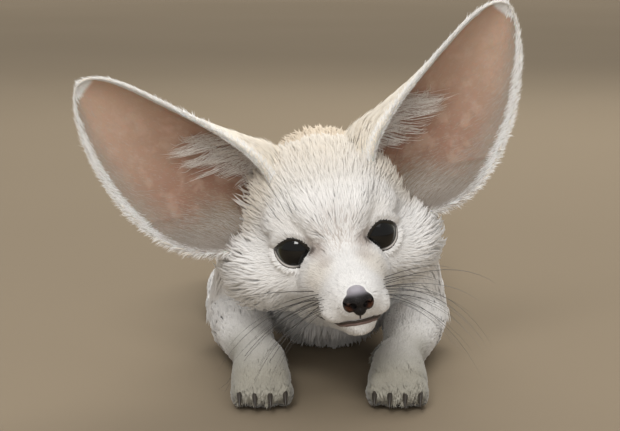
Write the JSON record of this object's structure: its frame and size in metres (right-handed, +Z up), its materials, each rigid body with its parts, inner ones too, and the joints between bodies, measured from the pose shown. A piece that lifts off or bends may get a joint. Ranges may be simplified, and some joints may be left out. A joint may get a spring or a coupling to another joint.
{
  "type": "fennec fox",
  "caption": "Life-size fennec fox lying on its belly, forepaws out in front, head raised and turned, with very large cupped ears and a bushy tail laid out behind.",
  "frame": {"origin": "on the floor, at the middle of the belly's flat", "axes": "+Z up, the fox looks towards -Y, its left side is +X"},
  "size_m": [0.1842, 0.5746, 0.1573],
  "materials": {
    "coat": "near-white fur",
    "coat_back": "pale buff fur",
    "coat_tail": "sandy fur with a dark tip",
    "ear_skin": "thin pink-tan skin with a white furred edge",
    "eye": "wet, near black",
    "nose": "moist, fine-grained"
  },
  "bodies": {
    "root": {"head": "coat", "neck": "coat_back", "torso": "coat_back", "tail": "coat_tail", "foreleg_left": "coat", "foreleg_right": "coat", "forepaw_left": "coat", "forepaw_right": "coat", "hindleg_left": "coat", "hindleg_right": "coat", "hindpaw_left": "coat", "hindpaw_right": "coat", "ear_left": "ear_skin", "ear_right": "ear_skin", "eye_left": "eye", "eye_right": "eye", "nose_pad": "nose"}
  },
  "joints": []
}
